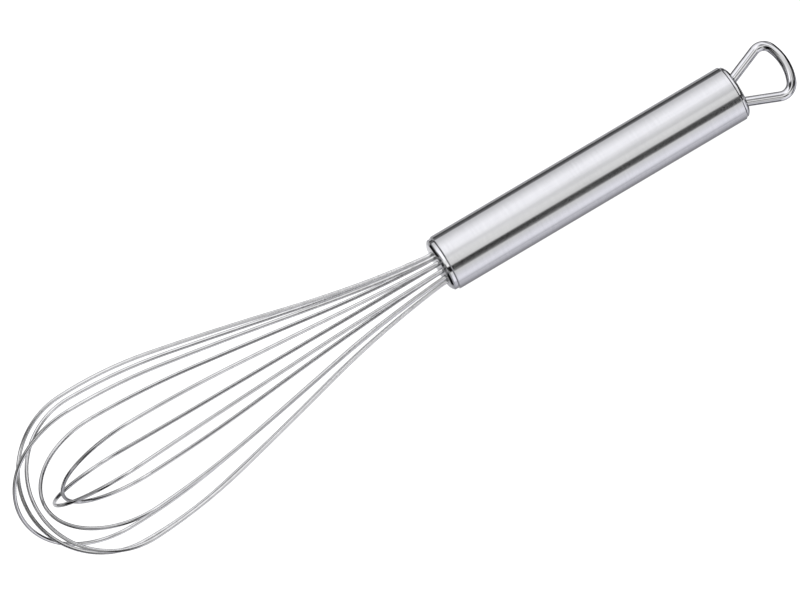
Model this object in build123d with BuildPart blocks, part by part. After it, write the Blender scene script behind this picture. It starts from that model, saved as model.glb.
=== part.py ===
from build123d import *
import os
from math import cos, pi, radians, sin, tan

os.makedirs("parts", exist_ok=True)

# ---------------------------------------------------------------------------
# Balloon whisk, lying at rest on a flat surface. Millimetres, +Z up.
# Row frame: +X runs along the whisk from the hanging loop to the balloon tip,
# the origin is the middle of the footprint on the surface it lies on.
#
# Whisk frame (the "body" plane below): local x is the axis of the handle,
# pointing to the balloon tip, with x = 0 at the front end of the handle tube;
# local y lies in the plane of the flat hanging loop; local z is normal to it.
# ---------------------------------------------------------------------------

# handle
tube_diameter = 20.0
tube_wall = 0.8
tube_length = 112.9
tube_edge = 0.25

# end caps pushed into the tube
cap_spigot_length = 8.0
cap_spigot_wall = 1.4
cap_radius = 9.5
seam_width = 0.2               # shadow groove between tube and cap
seam_depth = 0.45
front_cap_band = 1.1           # straight part of the rim
front_cap_rounds = ((0.6, 52.0), (9.0, 58.7), (1.3, 85.0))   # radius, normal angle where it ends
front_cap_face_thickness = 1.6
rear_cap_band = 0.6
rear_cap_rounds = ((0.5, 44.0), (6.0, 53.0), (1.0, 86.0))
rear_cap_face_thickness = 1.4

# wires
wire_diameter = 1.3
wire_ring_radius = 5.35        # ring of twelve wires where they leave the cap
wire_ring_turn = -43.0         # angle of the first hole; the holes are 30 degrees apart
wire_ring_shift = 0.45         # the ring sits a little off the handle's axis, along local y
wire_hole_diameter = 1.8
wire_leg_start = -20.0         # inner ends of the wires, inside the handle
wire_bend_start = 1.30         # the wires are straight up to here
neck_samples = (0.04, 0.09, 0.18, 0.30, 0.45, 0.60, 0.75, 0.88)   # along the neck, which ends in the loop's plane
head_lean_y = 0.70             # the whole balloon leans a little, degrees
head_lean_z = 0.58

# One entry per closed wire loop, from the longest to the shortest:
# plane angle about the axis, lean in its plane, lean out of its plane (degrees),
# then five tangent arcs of one side as (length, radius); a positive radius
# bends away from the axis. The sixth arc closes over the axis at the tip. Over
# the first two arcs, the neck, the wire eases from its hole into that plane.
loop_table = {
    "wire_loop_1": (-37.9, 0.01, -0.65, ((4.44, 41.6), (46.95, 356.6), (49.94, -1225.7), (33.65, -164.5), (19.92, -33.5))),
    "wire_loop_2": (-9.1, -0.28, -0.06, ((4.53, 41.2), (49.94, 349.7), (47.24, -988.7), (33.06, -135.9), (28.71, -29.0))),
    "wire_loop_3": (14.7, 0.34, 0.00, ((4.85, 44.1), (46.13, 354.2), (43.19, -2433.6), (36.85, -187.7), (23.61, -27.7))),
    "wire_loop_4": (50.3, 0.65, -0.21, ((5.25, 47.2), (40.15, 290.6), (40.90, -4471.8), (40.45, -216.3), (21.07, -28.7))),
    "wire_loop_5": (81.5, -0.65, -0.63, ((5.32, 44.6), (47.87, 953.5), (34.54, -1350.0), (34.90, 351.5), (24.21, -24.0))),
    "wire_loop_6": (110.8, -0.01, 0.00, ((6.30, 46.4), (48.16, 540.0), (22.51, 1661.4), (42.16, -217.4), (23.94, -31.6))),
}

# inside the front of the handle
core_radius = 3.9
core_start = -20.0
compound_start = -22.0
stop_disc_thickness = 1.5

# hanging loop: corners of its centreline in the whisk frame and bend radii
hanger_diameter = 3.4
hanger_points = ((-108.6, -1.30), (-130.48, -10.07), (-134.79, 0.08), (-130.72, 10.87), (-108.6, 2.10))
hanger_bends = (4.24, 16.41, 4.58)
anchor_radius = 7.6
anchor_thickness = 1.2

# resting pose: the whisk lies on the lower edge of the handle's rear end and
# on the two lowest wires
rest_pitch = 3.692             # tip end of the axis raised, degrees
rest_roll = 10.311              # turned about its own axis, degrees
rest_origin = (-14.857, -2.583, 17.238)

# ---------------------------------------------------------------------------
# planes
# ---------------------------------------------------------------------------
pitch, roll = radians(rest_pitch), radians(rest_roll)
body = Plane(
    origin=rest_origin,
    x_dir=(cos(pitch), 0, sin(pitch)),
    z_dir=(-sin(pitch) * cos(roll), sin(roll), cos(pitch) * cos(roll)),
)
handle_axis = Axis(body.origin, body.x_dir)


def cross_plane(x):
    """Plane across the handle axis at station x, its normal towards the tip."""
    return Plane(origin=body.from_local_coords((x, 0, 0)), x_dir=body.y_dir, z_dir=body.x_dir)


def hole_point(angle):
    """Centre of a wire hole in a cross plane, at an angle on the wire ring."""
    return (
        wire_ring_shift + wire_ring_radius * cos(radians(angle)),
        wire_ring_radius * sin(radians(angle)),
    )


def loop_plane(angle, lean_in, lean_out):
    """Plane of one wire loop: local x along the balloon, local y outwards."""
    a = radians(angle)
    out = Vector(0, cos(a), sin(a))
    side = Vector(0, -sin(a), cos(a))
    along = (
        Vector(1, tan(radians(head_lean_y)), tan(radians(head_lean_z)))
        + out * tan(radians(lean_in))
        + side * tan(radians(lean_out))
    ).normalized()
    out = (out - along * out.dot(along)).normalized()
    normal = along.cross(out)
    origin = body.from_local_coords((0, 0, 0))
    return Plane(
        origin=origin,
        x_dir=body.from_local_coords(along) - origin,
        z_dir=body.from_local_coords(normal) - origin,
    )


def loop_arcs(arcs):
    """Arcs of one side of a loop as (start, middle, end) points in its plane."""
    x, r, h = wire_bend_start, wire_ring_radius, 0.0
    spans = []
    for length, radius in arcs:
        points = [(x, r)]
        for part_length in (length / 2, length):
            turn = part_length / radius
            points.append((x + radius * (sin(h + turn) - sin(h)), r - radius * (cos(h + turn) - cos(h))))
        spans.append(tuple(points))
        x, r = points[-1]
        h += length / radius
    closing = r / cos(h)
    middle = (h - pi / 2) / 2
    spans.append(
        (
            (x, r),
            (x + closing * (sin(h) - sin(middle)), closing * cos(middle)),
            (x + closing * (sin(h) + 1), 0.0),
        )
    )
    return spans


def neck_curve(arcs, share):
    """Point and heading in the loop's plane at a share of the neck's length."""
    left = share * (arcs[0][0] + arcs[1][0])
    x, r, h = wire_bend_start, wire_ring_radius, 0.0
    for length, radius in arcs[:2]:
        turn = min(length, left) / radius
        x += radius * (sin(h + turn) - sin(h))
        r -= radius * (cos(h + turn) - cos(h))
        h += turn
        left = max(0.0, left - length)
    return x, r, h


def cap_outline(band, rounds):
    """Rim of a cap as (height, radius) points: tangent arcs over the shoulder,
    then the crown of the face, each arc as (start, middle, end)."""
    x, r, turned = band, cap_radius, 0.0
    spans = []
    for radius, end in rounds:
        points = [(x, r)]
        for angle in ((turned + end) / 2, end):
            points.append(
                (
                    x + radius * (sin(radians(angle)) - sin(radians(turned))),
                    r - radius * (cos(radians(turned)) - cos(radians(angle))),
                )
            )
        spans.append(tuple(points))
        x, r = points[-1]
        turned = end
    sphere = r / cos(radians(turned))
    half = radians((turned + 90) / 2)
    spans.append(
        (
            (x, r),
            (x + sphere * (sin(half) - sin(radians(turned))), sphere * cos(half)),
            (x + sphere * (1 - sin(radians(turned))), 0.0),
        )
    )
    return spans


def rounded_run(points, bends):
    """Straight runs joined by tangent arcs: list of ("line"|"arc", points)."""
    spans = []
    start = Vector(*points[0])
    for before, corner, after, radius in zip(points, points[1:], points[2:], bends):
        corner = Vector(*corner)
        u = (Vector(*before) - corner).normalized()
        v = (Vector(*after) - corner).normalized()
        half = radians(u.get_angle(v)) / 2
        setback = radius / tan(half)
        bisector = (u + v).normalized()
        centre = corner + bisector * (radius / sin(half))
        spans.append(("line", (start, corner + u * setback)))
        spans.append(("arc", (corner + u * setback, centre - bisector * radius, corner + v * setback)))
        start = corner + v * setback
    spans.append(("line", (start, Vector(*points[-1]))))
    return spans


hole_angles = [wire_ring_turn + 30 * i for i in range(12)]
tube_radius = tube_diameter / 2
tube_bore = tube_radius - tube_wall
spigot_bore = tube_bore - cap_spigot_wall

# ---------------------------------------------------------------------------
# handle tube: plain thin-walled tube with broken edges
# ---------------------------------------------------------------------------
with BuildPart() as handle_tube:
    with BuildSketch(cross_plane(-tube_length)):
        Circle(tube_radius)
        Circle(tube_bore, mode=Mode.SUBTRACT)
    extrude(amount=tube_length)
    rims = handle_tube.edges().filter_by(GeomType.CIRCLE).sort_by(SortBy.RADIUS)[-2:]
    chamfer(rims, tube_edge)
handle_tube.part.label = "handle_tube"

# ---------------------------------------------------------------------------
# front cap: polished, short rim rolling over to a slightly crowned face,
# a spigot inside the tube and twelve holes for the wires
# ---------------------------------------------------------------------------
front_rim = cap_outline(front_cap_band, front_cap_rounds)
front_cap_height = front_rim[-1][0][0]
front_crown = front_rim[-1][2][0]
pocket_floor = front_cap_height - front_cap_face_thickness
with BuildPart() as front_cap:
    with BuildSketch(body):
        with BuildLine():
            Line((-cap_spigot_length, spigot_bore), (-cap_spigot_length, tube_bore))
            Line((-cap_spigot_length, tube_bore), (0, tube_bore))
            Line((0, tube_bore), (seam_width, cap_radius - seam_depth))
            Line((seam_width, cap_radius - seam_depth), (seam_width, cap_radius))
            Line((seam_width, cap_radius), (front_cap_band, cap_radius))
            for a, b, c in front_rim:
                ThreePointArc(a, b, c)
            Line((front_crown, 0), (pocket_floor, 0))
            Line((pocket_floor, 0), (pocket_floor, spigot_bore))
            Line((pocket_floor, spigot_bore), (-cap_spigot_length, spigot_bore))
        make_face()
    revolve(axis=handle_axis)
    with BuildSketch(cross_plane(pocket_floor - 0.5)):
        with Locations(*[hole_point(a) for a in hole_angles]):
            Circle(wire_hole_diameter / 2)
    extrude(amount=front_cap_face_thickness + 2, mode=Mode.SUBTRACT)
front_cap.part.label = "front_cap"


# ---------------------------------------------------------------------------
# hanging loop: one bent round rod, its two legs held in the rear cap
# ---------------------------------------------------------------------------
first_leg = (Vector(*hanger_points[1]) - Vector(*hanger_points[0])).normalized()
with BuildPart() as hanging_loop:
    with BuildLine(body) as hanger_path:
        for kind, span in rounded_run(hanger_points, hanger_bends):
            if kind == "line":
                Line((span[0].X, span[0].Y), (span[1].X, span[1].Y))
            else:
                ThreePointArc((span[0].X, span[0].Y), (span[1].X, span[1].Y), (span[2].X, span[2].Y))
    with BuildSketch(
        Plane(
            origin=body.from_local_coords((*hanger_points[0], 0)),
            x_dir=body.z_dir,
            z_dir=body.from_local_coords(first_leg) - body.origin,
        )
    ):
        Circle(hanger_diameter / 2)
    sweep(path=hanger_path.line)
hanging_loop.part.label = "hanging_loop"

# ---------------------------------------------------------------------------
# rear cap: like the front one but lower, with two slanted holes that the
# legs of the hanging loop are brazed into
# ---------------------------------------------------------------------------
rear_rim = [
    tuple((-tube_length - x, r) for x, r in span) for span in cap_outline(rear_cap_band, rear_cap_rounds)
]
rear_face = rear_rim[-1][0][0]
rear_crown = rear_rim[-1][2][0]
rear_floor = rear_face + rear_cap_face_thickness
with BuildPart() as rear_cap:
    with BuildSketch(body):
        with BuildLine():
            Line((-tube_length + cap_spigot_length, spigot_bore), (-tube_length + cap_spigot_length, tube_bore))
            Line((-tube_length + cap_spigot_length, tube_bore), (-tube_length, tube_bore))
            Line((-tube_length, tube_bore), (-tube_length - seam_width, cap_radius - seam_depth))
            Line((-tube_length - seam_width, cap_radius - seam_depth), (-tube_length - seam_width, cap_radius))
            Line((-tube_length - seam_width, cap_radius), (-tube_length - rear_cap_band, cap_radius))
            for a, b, c in rear_rim:
                ThreePointArc(a, b, c)
            Line((rear_crown, 0), (rear_floor, 0))
            Line((rear_floor, 0), (rear_floor, spigot_bore))
            Line((rear_floor, spigot_bore), (-tube_length + cap_spigot_length, spigot_bore))
        make_face()
    revolve(axis=handle_axis)
    add(hanging_loop.part, mode=Mode.SUBTRACT)
rear_cap.part.label = "rear_cap"

# ---------------------------------------------------------------------------
# loop anchor: steel washer behind the rear cap that ties the two legs
# ---------------------------------------------------------------------------
with BuildPart() as loop_anchor:
    with BuildSketch(cross_plane(rear_floor)):
        Circle(anchor_radius)
    extrude(amount=anchor_thickness)
    add(hanging_loop.part, mode=Mode.SUBTRACT)
loop_anchor.part.label = "loop_anchor"


def leg_point(x, angle):
    """Point on the straight leg of a wire, from its hole into the handle."""
    return body.from_local_coords((x, *hole_point(angle)))


def wire_neck(plane, arcs, angle, side):
    """Points of one neck, from the end of the leg to the start of the third
    arc, and the heading there. Side is 1 or -1, the side of the loop."""
    shift = leg_point(wire_bend_start, angle) - plane.from_local_coords((wire_bend_start, side * wire_ring_radius, 0))
    points = [leg_point(wire_bend_start, angle)]
    for share in (*neck_samples, 1.0):
        x, r, h = neck_curve(arcs, share)
        eased = share * share * (3 - 2 * share)
        points.append(plane.from_local_coords((x, side * r, 0)) + shift * (1 - eased))
    heading = plane.from_local_coords((cos(h), side * sin(h), 0)) - plane.origin
    return points, heading


def wire_path(plane, arcs, angle):
    """Centreline of a wire loop: leg, neck, arcs, tip, arcs, neck, leg."""
    spans = loop_arcs(arcs)[2:]
    with BuildLine() as path:
        points, heading = wire_neck(plane, arcs, angle, 1)
        Line(leg_point(wire_leg_start, angle), points[0])
        Spline(*points, tangents=(body.x_dir, heading))
        for span in spans:
            ThreePointArc(*[plane.from_local_coords((x, r, 0)) for x, r in span])
        for span in reversed(spans):
            ThreePointArc(*[plane.from_local_coords((x, -r, 0)) for x, r in reversed(span)])
        points, heading = wire_neck(plane, arcs, angle + 180, -1)
        Spline(*reversed(points), tangents=(heading * -1, body.x_dir * -1))
        Line(points[0], leg_point(wire_leg_start, angle + 180))
    return path.line


def wire_start(angle):
    """Cross plane at the inner end of the first leg of a loop."""
    return Plane(origin=leg_point(wire_leg_start, angle), x_dir=body.y_dir, z_dir=body.x_dir)


# ---------------------------------------------------------------------------
# six wire loops, each one spring-steel wire bent into a teardrop
# ---------------------------------------------------------------------------
plane_1 = loop_plane(*loop_table["wire_loop_1"][:3])
line_1 = wire_path(plane_1, loop_table["wire_loop_1"][3], hole_angles[0])
with BuildPart() as wire_loop_1:
    with BuildSketch(wire_start(hole_angles[0])):
        Circle(wire_diameter / 2)
    sweep(path=line_1)
wire_loop_1.part.label = "wire_loop_1"

plane_2 = loop_plane(*loop_table["wire_loop_2"][:3])
line_2 = wire_path(plane_2, loop_table["wire_loop_2"][3], hole_angles[1])
with BuildPart() as wire_loop_2:
    with BuildSketch(wire_start(hole_angles[1])):
        Circle(wire_diameter / 2)
    sweep(path=line_2)
wire_loop_2.part.label = "wire_loop_2"

plane_3 = loop_plane(*loop_table["wire_loop_3"][:3])
line_3 = wire_path(plane_3, loop_table["wire_loop_3"][3], hole_angles[2])
with BuildPart() as wire_loop_3:
    with BuildSketch(wire_start(hole_angles[2])):
        Circle(wire_diameter / 2)
    sweep(path=line_3)
wire_loop_3.part.label = "wire_loop_3"

plane_4 = loop_plane(*loop_table["wire_loop_4"][:3])
line_4 = wire_path(plane_4, loop_table["wire_loop_4"][3], hole_angles[3])
with BuildPart() as wire_loop_4:
    with BuildSketch(wire_start(hole_angles[3])):
        Circle(wire_diameter / 2)
    sweep(path=line_4)
wire_loop_4.part.label = "wire_loop_4"

plane_5 = loop_plane(*loop_table["wire_loop_5"][:3])
line_5 = wire_path(plane_5, loop_table["wire_loop_5"][3], hole_angles[4])
with BuildPart() as wire_loop_5:
    with BuildSketch(wire_start(hole_angles[4])):
        Circle(wire_diameter / 2)
    sweep(path=line_5)
wire_loop_5.part.label = "wire_loop_5"

plane_6 = loop_plane(*loop_table["wire_loop_6"][:3])
line_6 = wire_path(plane_6, loop_table["wire_loop_6"][3], hole_angles[5])
with BuildPart() as wire_loop_6:
    with BuildSketch(wire_start(hole_angles[5])):
        Circle(wire_diameter / 2)
    sweep(path=line_6)
wire_loop_6.part.label = "wire_loop_6"

wires = (wire_loop_1, wire_loop_2, wire_loop_3, wire_loop_4, wire_loop_5, wire_loop_6)

# ---------------------------------------------------------------------------
# wire core: round peg that the twelve wire ends are packed around
# ---------------------------------------------------------------------------
with BuildPart() as wire_core:
    with BuildSketch(cross_plane(core_start)):
        Circle(core_radius)
    extrude(amount=pocket_floor - core_start)
wire_core.part.label = "wire_core"

# ---------------------------------------------------------------------------
# sealing compound: cast around the wire ends and the core, fills the front
# of the handle and closes it against water
# ---------------------------------------------------------------------------
with BuildPart() as sealing_compound:
    with BuildSketch(body):
        with BuildLine():
            Polyline(
                (compound_start, 0),
                (compound_start, tube_bore),
                (-cap_spigot_length, tube_bore),
                (-cap_spigot_length, spigot_bore),
                (pocket_floor, spigot_bore),
                (pocket_floor, core_radius),
                (core_start, core_radius),
                (core_start, 0),
                close=True,
            )
        make_face()
    revolve(axis=handle_axis)
    for wire in wires:
        add(wire.part, mode=Mode.SUBTRACT)
sealing_compound.part.label = "sealing_compound"

# ---------------------------------------------------------------------------
# stop disc: keeps the compound at the front while it sets
# ---------------------------------------------------------------------------
with BuildPart() as stop_disc:
    with BuildSketch(cross_plane(compound_start - stop_disc_thickness)):
        Circle(tube_bore)
    extrude(amount=stop_disc_thickness)
stop_disc.part.label = "stop_disc"

# ---------------------------------------------------------------------------
# export, one file per piece
# ---------------------------------------------------------------------------
export_step(handle_tube.part, "parts/handle_tube.step")
export_step(front_cap.part, "parts/front_cap.step")
export_step(rear_cap.part, "parts/rear_cap.step")
export_step(hanging_loop.part, "parts/hanging_loop.step")
export_step(loop_anchor.part, "parts/loop_anchor.step")
export_step(wire_loop_1.part, "parts/wire_loop_1.step")
export_step(wire_loop_2.part, "parts/wire_loop_2.step")
export_step(wire_loop_3.part, "parts/wire_loop_3.step")
export_step(wire_loop_4.part, "parts/wire_loop_4.step")
export_step(wire_loop_5.part, "parts/wire_loop_5.step")
export_step(wire_loop_6.part, "parts/wire_loop_6.step")
export_step(wire_core.part, "parts/wire_core.step")
export_step(sealing_compound.part, "parts/sealing_compound.step")
export_step(stop_disc.part, "parts/stop_disc.step")

pieces = (handle_tube, front_cap, rear_cap, hanging_loop, loop_anchor, *wires, wire_core, sealing_compound, stop_disc)
lows = [piece.part.bounding_box() for piece in pieces]
print("x %.3f %.3f" % (min(b.min.X for b in lows), max(b.max.X for b in lows)))
print("y %.3f %.3f" % (min(b.min.Y for b in lows), max(b.max.Y for b in lows)))
print("z %.3f %.3f" % (min(b.min.Z for b in lows), max(b.max.Z for b in lows)))
for piece, line in zip(wires, (line_1, line_2, line_3, line_4, line_5, line_6)):
    print(piece.part.label, "wire length %.1f" % sum(e.length for e in line.edges()), "volume over section times length %.4f" % (piece.part.volume / (pi * wire_diameter**2 / 4 * sum(e.length for e in line.edges()))))
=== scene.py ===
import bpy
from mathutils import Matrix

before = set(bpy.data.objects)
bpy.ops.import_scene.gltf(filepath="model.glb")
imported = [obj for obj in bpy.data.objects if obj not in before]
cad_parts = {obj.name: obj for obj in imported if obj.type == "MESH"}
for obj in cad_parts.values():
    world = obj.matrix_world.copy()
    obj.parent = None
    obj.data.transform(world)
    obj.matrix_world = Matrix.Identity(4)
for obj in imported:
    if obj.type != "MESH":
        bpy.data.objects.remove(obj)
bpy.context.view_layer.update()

import math

import bpy
from mathutils import Matrix, Vector

# ---------------------------------------------------------------------------
# The whisk frame inside the row frame: x along the handle towards the tip,
# y in the plane of the hanging loop, z away from the surface it lies on.
# ---------------------------------------------------------------------------
PITCH, ROLL = math.radians(3.692), math.radians(10.311)
ORIGIN = Vector((-0.014857, -0.002583, 0.017238))
EX = Vector((math.cos(PITCH), 0, math.sin(PITCH)))
EZ = Vector((-math.sin(PITCH) * math.cos(ROLL), math.sin(ROLL), math.cos(PITCH) * math.cos(ROLL)))
EY = EZ.cross(EX)


def turned(v):
    """A direction of the whisk frame, in the row frame."""
    return EX * v[0] + EY * v[1] + EZ * v[2]


def placed(v):
    """A point of the whisk frame in millimetres, in the row frame in metres."""
    return ORIGIN + turned(v) * 0.001


# ---------------------------------------------------------------------------
# small node helpers
# ---------------------------------------------------------------------------
def node(tree, kind, inputs=(), **settings):
    n = tree.nodes.new(kind)
    for key, value in settings.items():
        setattr(n, key, value)
    for key, value in dict(inputs).items():
        if isinstance(value, bpy.types.NodeSocket):
            tree.links.new(value, n.inputs[key])
        else:
            n.inputs[key].default_value = value
    return n


def maths(tree, operation, *values, clamp=False):
    n = node(tree, "ShaderNodeMath", enumerate(values), operation=operation, use_clamp=clamp)
    return n.outputs[0]


def dot(tree, socket, direction):
    n = node(tree, "ShaderNodeVectorMath", {0: socket, 1: tuple(direction)}, operation="DOT_PRODUCT")
    return n.outputs["Value"]


def ramp(tree, socket, stops, interpolation="LINEAR"):
    n = node(tree, "ShaderNodeValToRGB", {"Fac": socket})
    n.color_ramp.interpolation = interpolation
    while len(n.color_ramp.elements) > 1:
        n.color_ramp.elements.remove(n.color_ramp.elements[0])
    for i, (position, value) in enumerate(stops):
        e = n.color_ramp.elements[0] if i == 0 else n.color_ramp.elements.new(position)
        e.position = position
        e.color = (*value, 1) if isinstance(value, tuple) else (value, value, value, 1)
    return n.outputs["Color"]


def smooth(tree, socket, low, high, out_low=0.0, out_high=1.0):
    n = node(
        tree,
        "ShaderNodeMapRange",
        {"Value": socket, "From Min": low, "From Max": high, "To Min": out_low, "To Max": out_high},
        interpolation_type="SMOOTHSTEP",
    )
    return n.outputs["Result"]


# ---------------------------------------------------------------------------
# the camera's fixed place: nearly straight above, leaning towards the tip.
# In the picture ALONG runs to the lower left and ACROSS to the lower right.
# ---------------------------------------------------------------------------
TILT = math.radians(6.527)
REACH = 2063.5
BACK = Vector((math.sin(TILT), 0, math.cos(TILT)))
ALONG = Vector((math.cos(TILT), 0, -math.sin(TILT)))
ACROSS = Vector((0, 1, 0))


def capsule(t, where, a, b, radius, soft):
    """1 inside a soft-edged bar from a to b on the flat map of directions."""
    run = (b[0] - a[0], b[1] - a[1], 0)
    off = node(t, "ShaderNodeVectorMath", {0: where, 1: (a[0], a[1], 0)}, operation="SUBTRACT").outputs[0]
    part = maths(t, "MULTIPLY", dot(t, off, run), 1 / (run[0] ** 2 + run[1] ** 2), clamp=True)
    foot = node(t, "ShaderNodeVectorMath", {0: run, 3: part}, operation="SCALE").outputs[0]
    gap = node(t, "ShaderNodeVectorMath", {0: off, 1: foot}, operation="DISTANCE").outputs["Value"]
    return smooth(t, gap, radius - soft, radius + soft, 1.0, 0.0)


# ---------------------------------------------------------------------------
# studio: the light as the steel sees it. Long soft banks lie parallel to the
# whisk, with gaps between them; their angle is taken about the whisk's axis,
# 0 straight above it and positive to the lower right of the picture. Dark
# flags stand among the banks; they are placed on a flat map of directions
# round the camera, in degrees, x towards the tip and y to the lower right.
# ---------------------------------------------------------------------------
BANKS = [
    (-180, (0.99, 0.99, 1.02)),
    (-150, (0.19, 0.19, 0.20)),
    (-142, (0.85, 0.85, 0.87)),
    (-134, (0.14, 0.14, 0.15)),
    (-128, (0.31, 0.31, 0.32)),
    (-122, (0.85, 0.85, 0.88)),
    (-112, (0.81, 0.81, 0.84)),
    (-100, (0.72, 0.72, 0.74)),
    (-86, (0.90, 0.90, 0.93)),
    (-72, (1.07, 1.07, 1.11)),
    (-58, (1.23, 1.23, 1.28)),
    (-45, (1.20, 1.20, 1.25)),
    (-34, (1.27, 1.27, 1.31)),
    (-24, (1.35, 1.35, 1.39)),
    (-12, (1.26, 1.26, 1.28)),
    (0, (0.92, 0.92, 0.92)),
    (14, (1.10, 1.10, 1.10)),
    (30, (1.25, 1.25, 1.25)),
    (45, (0.97, 0.97, 0.97)),
    (55, (0.90, 0.90, 0.92)),
    (66, (0.97, 0.97, 1.03)),
    (80, (1.06, 1.06, 1.14)),
    (92, (0.97, 0.97, 1.05)),
    (104, (0.56, 0.56, 0.61)),
    (118, (1.06, 1.06, 1.15)),
    (134, (0.66, 0.66, 0.72)),
    (150, (0.20, 0.20, 0.21)),
    (180, (0.68, 0.68, 0.71)),
]
REACHES = [(-88, 0.95), (-65, 0.91), (-45, 0.91), (-25, 0.95), (-6.5, 1.03), (12, 0.99), (30, 1.28), (50, 0.97), (70, 0.94), (88, 1.02)]
FLAGS = [
    # start, end, radius, softness, how dark
    ((-13, 29), (-18, 40), 8.2, 3.2, 0.99),
    ((3, 16), (13, 34), 12.6, 2.4, 0.96),
    ((4, 17), (14, 34), 12.2, 4.0, 0.88),
    ((36, 24), (31, 110), 11.5, 5.6, 0.97),
    ((-33, 17), (-78, 34), 12.3, 7.2, 0.96),
    ((-80, 13), (-118, 0), 20.9, 2.4, 0.94),
    ((-100, -15), (-120, -49), 25.8, 7.7, 0.95),
    ((-63, 43), (-51, 75), 13.1, 6.9, 0.88),
    ((40, 52), (124, 5), 42.3, 24.8, 0.52),
    ((-64, -74), (-63, -32), 13.4, 7.1, 0.59),
    ((-25, -32), (-23, -10), 5.9, 4.8, 0.78),
    ((3, -19), (29, -40), 13.0, 4.3, 0.97),
    ((40, -98), (65, -30), 22.7, 7.7, 0.69),
    ((23, 30), (53, -4), 17.9, 8.8, 0.66),
    ((99, 0), (108, -60), 14.0, 4.0, 0.96),   # these two low in front, seen in the rim of the front cap
    ((99, 0), (108, 60), 14.0, 4.0, 0.96),
]
# table edge: distance (mean, change along, change across), half width,
# softness, then depth in the same way
EDGE = (125.03, -10.52, 1.03, 14.97, 3.25, 0.60, -0.20, -0.21)


def studio():
    world = bpy.data.worlds.new("studio")
    bpy.context.scene.world = world
    world.use_nodes = True
    t = world.node_tree
    t.nodes.clear()
    way = node(t, "ShaderNodeTexCoord").outputs["Generated"]
    x, y, z = dot(t, way, EX), dot(t, way, EY), dot(t, way, EZ)
    about = maths(t, "MULTIPLY_ADD", maths(t, "ARCTAN2", y, z), 0.5 / math.pi, 0.5)
    banks = ramp(t, about, [(angle / 360 + 0.5, tone) for angle, tone in BANKS])
    ends = maths(t, "MULTIPLY_ADD", maths(t, "ARCSINE", x), 1 / math.pi, 0.5)
    reaches = ramp(t, ends, [(angle / 180 + 0.5, tone) for angle, tone in REACHES])

    a, c, b = dot(t, way, turned(ALONG)), dot(t, way, turned(ACROSS)), dot(t, way, turned(BACK))
    polar = maths(t, "MULTIPLY", maths(t, "ARCCOSINE", b), 180 / math.pi)
    level = maths(t, "SQRT", maths(t, "ADD", maths(t, "MULTIPLY", a, a), maths(t, "MULTIPLY_ADD", c, c, 1e-8)))
    spread = maths(t, "DIVIDE", polar, level)
    flat = node(t, "ShaderNodeCombineXYZ", {0: maths(t, "MULTIPLY", a, spread), 1: maths(t, "MULTIPLY", c, spread)}).outputs[0]
    left = reaches
    for start, end, radius, soft, dark in FLAGS:
        left = maths(t, "MULTIPLY", left, maths(t, "MULTIPLY_ADD", capsule(t, flat, start, end, radius, soft), -dark, 1.0))

    # dark edge of the table, its distance and depth varying round the camera
    ca, sa = maths(t, "DIVIDE", a, level), maths(t, "DIVIDE", c, level)
    place, place_a, place_c, wide, soft, deep, deep_a, deep_c = EDGE
    middle = maths(t, "MULTIPLY_ADD", ca, place_a, maths(t, "MULTIPLY_ADD", sa, place_c, place))
    depth = maths(t, "MULTIPLY_ADD", ca, deep_a, maths(t, "MULTIPLY_ADD", sa, deep_c, deep), clamp=True)
    gap = maths(t, "ABSOLUTE", maths(t, "SUBTRACT", polar, middle))
    edge = maths(t, "MULTIPLY", smooth(t, gap, wide - soft, wide + soft, 1.0, 0.0), depth)
    left = maths(t, "MULTIPLY", left, maths(t, "SUBTRACT", 1.0, edge))

    seen = node(t, "ShaderNodeBackground", {"Color": (1, 1, 1, 1), "Strength": 1.0})
    light = node(t, "ShaderNodeBackground", {"Color": banks, "Strength": left})
    path = node(t, "ShaderNodeLightPath")
    mix = node(
        t,
        "ShaderNodeMixShader",
        {0: path.outputs["Is Camera Ray"], 1: light.outputs[0], 2: seen.outputs[0]},
    )
    node(t, "ShaderNodeOutputWorld", {"Surface": mix.outputs[0]})


studio()

# ---------------------------------------------------------------------------
# floor: one plain pale surface, softly lit from within like a light table
# ---------------------------------------------------------------------------
floor_mesh = bpy.data.meshes.new("floor")
floor_mesh.from_pydata([(-4, -4, 0), (4, -4, 0), (4, 4, 0), (-4, 4, 0)], [], [(0, 1, 2, 3)])
floor = bpy.data.objects.new("floor", floor_mesh)
bpy.context.scene.collection.objects.link(floor)
floor_look = bpy.data.materials.new("pale_floor")
floor_look.use_nodes = True
shade = floor_look.node_tree.nodes["Principled BSDF"]
shade.inputs["Base Color"].default_value = (0.30, 0.30, 0.30, 1)
shade.inputs["Roughness"].default_value = 0.9
shade.inputs["Specular IOR Level"].default_value = 0.0
shade.inputs["Emission Color"].default_value = (1, 1, 1, 1)
shade.inputs["Emission Strength"].default_value = 0.95
floor_mesh.materials.append(floor_look)
floor.visible_glossy = False

# ---------------------------------------------------------------------------
# one broad soft lamp overhead
# ---------------------------------------------------------------------------
lamp = bpy.data.lights.new("overhead", "AREA")
lamp.shape = "RECTANGLE"
lamp.size, lamp.size_y = 1.6, 1.2
lamp.energy = 4.0
overhead = bpy.data.objects.new("overhead", lamp)
overhead.location = (-0.1, 0.25, 1.4)
overhead.rotation_mode = "QUATERNION"
overhead.rotation_quaternion = (Vector((0, 0, 0)) - overhead.location).to_track_quat("-Z", "Y")
overhead.visible_camera = False
overhead.visible_glossy = False
bpy.context.scene.collection.objects.link(overhead)

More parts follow.
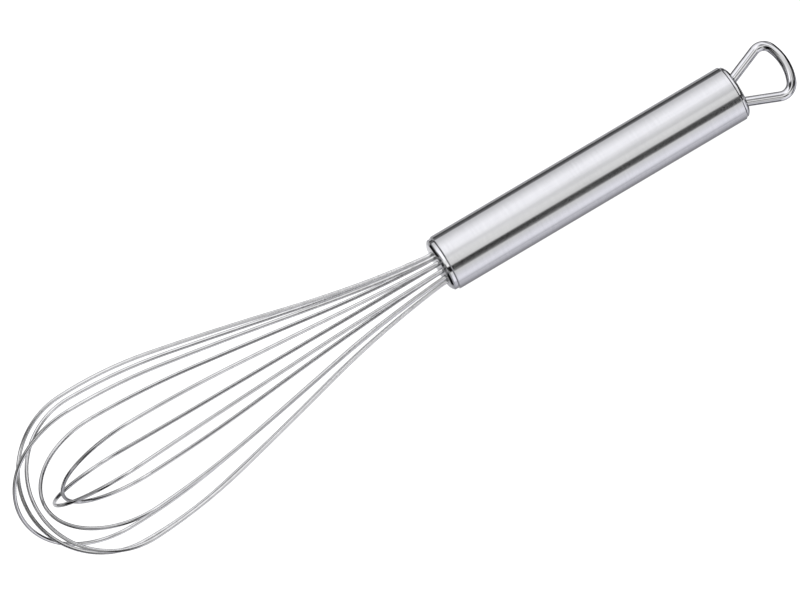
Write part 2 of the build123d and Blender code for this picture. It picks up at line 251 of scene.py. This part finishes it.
# ---------------------------------------------------------------------------
# camera: long lens, the handle to the upper right
# ---------------------------------------------------------------------------
right = -0.86083 * ALONG + 0.50887 * ACROSS
up = -0.50887 * ALONG - 0.86083 * ACROSS
aim = 19.333 * ALONG + 3.267 * ACROSS - Vector((0.35, 0, 0)) - (right - up) / 6
lens = bpy.data.cameras.new("camera")
lens.sensor_width = 36.0
lens.lens = 36.0 / 800 * REACH * 3
lens.clip_start, lens.clip_end = 0.05, 50
lens.dof.use_dof = False
camera = bpy.data.objects.new("camera", lens)
spin = Matrix((turned(right), turned(up), turned(BACK))).transposed().to_4x4()
camera.matrix_world = Matrix.Translation(placed(aim + BACK * REACH)) @ spin
bpy.context.scene.collection.objects.link(camera)
bpy.context.scene.camera = camera

bpy.context.scene.view_settings.view_transform = "Standard"
bpy.context.scene.view_settings.look = "None"
bpy.context.scene.view_settings.exposure = 0.0
bpy.context.scene.view_settings.gamma = 1.0


# ---------------------------------------------------------------------------
# materials
# ---------------------------------------------------------------------------
def whisk_coordinates(t):
    """Position in the whisk frame in millimetres, as three sockets."""
    here = node(t, "ShaderNodeTexCoord").outputs["Object"]
    away = node(t, "ShaderNodeVectorMath", {0: here, 1: tuple(ORIGIN)}, operation="SUBTRACT").outputs[0]
    return [dot(t, away, axis * 1000) for axis in (EX, EY, EZ)]


def vector(t, x, y, z):
    return node(t, "ShaderNodeCombineXYZ", {0: x, 1: y, 2: z}).outputs[0]


def noise(t, where, scale, detail=3.0, rough=0.55):
    return node(
        t,
        "ShaderNodeTexNoise",
        {"Vector": where, "Scale": scale, "Detail": detail, "Roughness": rough},
    ).outputs[0]


def new_material(name):
    m = bpy.data.materials.new(name)
    m.use_nodes = True
    return m, m.node_tree, m.node_tree.nodes["Principled BSDF"]


def mixed(t, factor, a, b):
    n = node(t, "ShaderNodeMix", data_type="RGBA")
    n.inputs[0].default_value = 0
    t.links.new(factor, n.inputs[0])
    n.inputs[6].default_value = (*a, 1)
    n.inputs[7].default_value = (*b, 1)
    return n.outputs[2]


def brushed_tube():
    """Fine satin steel: the grain runs round the tube."""
    m, t, bsdf = new_material("brushed_tube")
    x, y, z = whisk_coordinates(t)
    slow = 0.16
    fine = noise(t, vector(t, maths(t, "MULTIPLY", x, 9.0), maths(t, "MULTIPLY", y, slow), maths(t, "MULTIPLY", z, slow)), 1.0, 4.0, 0.7)
    wide = noise(t, vector(t, maths(t, "MULTIPLY", x, 1.6), maths(t, "MULTIPLY", y, 0.07), maths(t, "MULTIPLY", z, 0.07)), 1.0, 3.0, 0.6)
    smudge = noise(t, vector(t, x, y, z), 0.05, 3.0, 0.5)
    both = maths(t, "ADD", maths(t, "MULTIPLY", fine, 0.65), maths(t, "MULTIPLY", wide, 0.35))
    tone = smooth(t, both, 0.3, 0.7)
    t.links.new(mixed(t, tone, (0.66, 0.66, 0.67), (0.73, 0.73, 0.735)), bsdf.inputs["Base Color"])
    rough = maths(t, "ADD", maths(t, "MULTIPLY_ADD", both, 0.09, 0.09), maths(t, "MULTIPLY", smudge, 0.05))
    t.links.new(rough, bsdf.inputs["Roughness"])
    bump = node(t, "ShaderNodeBump", {"Strength": 0.06, "Distance": 0.00002, "Height": both})
    t.links.new(bump.outputs[0], bsdf.inputs["Normal"])
    bsdf.inputs["Metallic"].default_value = 1.0
    bsdf.inputs["Anisotropic"].default_value = 0.6
    t.links.new(vector(t, *EX), bsdf.inputs["Tangent"])
    return m


def polished(name, low, high, rough_low, rough_high, mark=0.06):
    """Bright polished steel with faint wiping marks and small dull spots."""
    m, t, bsdf = new_material(name)
    x, y, z = whisk_coordinates(t)
    where = vector(t, x, y, z)
    cloud = noise(t, where, 0.35, 3.0, 0.55)
    streak = noise(t, vector(t, maths(t, "MULTIPLY", x, 0.5), maths(t, "MULTIPLY", y, 6.0), maths(t, "MULTIPLY", z, 6.0)), 1.0, 4.0, 0.65)
    spots = smooth(t, noise(t, where, 2.6, 2.0, 0.5), 0.62, 0.78)
    t.links.new(mixed(t, smooth(t, cloud, 0.35, 0.65), low, high), bsdf.inputs["Base Color"])
    rough = maths(t, "ADD", smooth(t, cloud, 0.3, 0.75, rough_low, rough_high), maths(t, "MULTIPLY", spots, mark))
    t.links.new(rough, bsdf.inputs["Roughness"])
    bump = node(t, "ShaderNodeBump", {"Strength": 0.06, "Distance": 0.00001, "Height": streak})
    t.links.new(bump.outputs[0], bsdf.inputs["Normal"])
    bsdf.inputs["Metallic"].default_value = 1.0
    return m


def dull(name, low, high, rough, metal, size, height):
    """Hidden pieces: plain steel, moulded peg and cast compound."""
    m, t, bsdf = new_material(name)
    x, y, z = whisk_coordinates(t)
    where = vector(t, x, y, z)
    grain = noise(t, where, size, 5.0, 0.6)
    t.links.new(mixed(t, smooth(t, grain, 0.3, 0.7), low, high), bsdf.inputs["Base Color"])
    t.links.new(smooth(t, grain, 0.25, 0.75, rough - 0.08, rough + 0.08), bsdf.inputs["Roughness"])
    bump = node(t, "ShaderNodeBump", {"Strength": 0.3, "Distance": height, "Height": grain})
    t.links.new(bump.outputs[0], bsdf.inputs["Normal"])
    bsdf.inputs["Metallic"].default_value = metal
    return m


looks = {
    "handle_tube": brushed_tube(),
    "front_cap": polished("polished_cap_front", (0.70, 0.70, 0.71), (0.76, 0.76, 0.77), 0.03, 0.07),
    "rear_cap": polished("polished_cap_rear", (0.70, 0.70, 0.71), (0.76, 0.76, 0.77), 0.03, 0.08),
    "hanging_loop": polished("polished_rod", (0.72, 0.72, 0.73), (0.78, 0.78, 0.79), 0.04, 0.10),
    "loop_anchor": dull("plain_steel_washer", (0.42, 0.42, 0.42), (0.55, 0.55, 0.54), 0.45, 1.0, 1.2, 0.00003),
    "stop_disc": dull("plain_steel_disc", (0.40, 0.40, 0.41), (0.52, 0.52, 0.52), 0.5, 1.0, 1.0, 0.00003),
    "wire_core": dull("core_plastic", (0.78, 0.77, 0.71), (0.86, 0.85, 0.80), 0.5, 0.0, 2.0, 0.00004),
    "sealing_compound": dull("compound", (0.16, 0.16, 0.155), (0.27, 0.265, 0.25), 0.6, 0.0, 1.4, 0.00008),
}
wire_look = polished("polished_wire", (0.69, 0.69, 0.685), (0.76, 0.76, 0.755), 0.02, 0.05)
for n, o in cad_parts.items():
    look = looks.get(n, wire_look)
    if not o.data.materials:
        o.data.materials.append(look)
    for s in o.material_slots:
        s.material = look
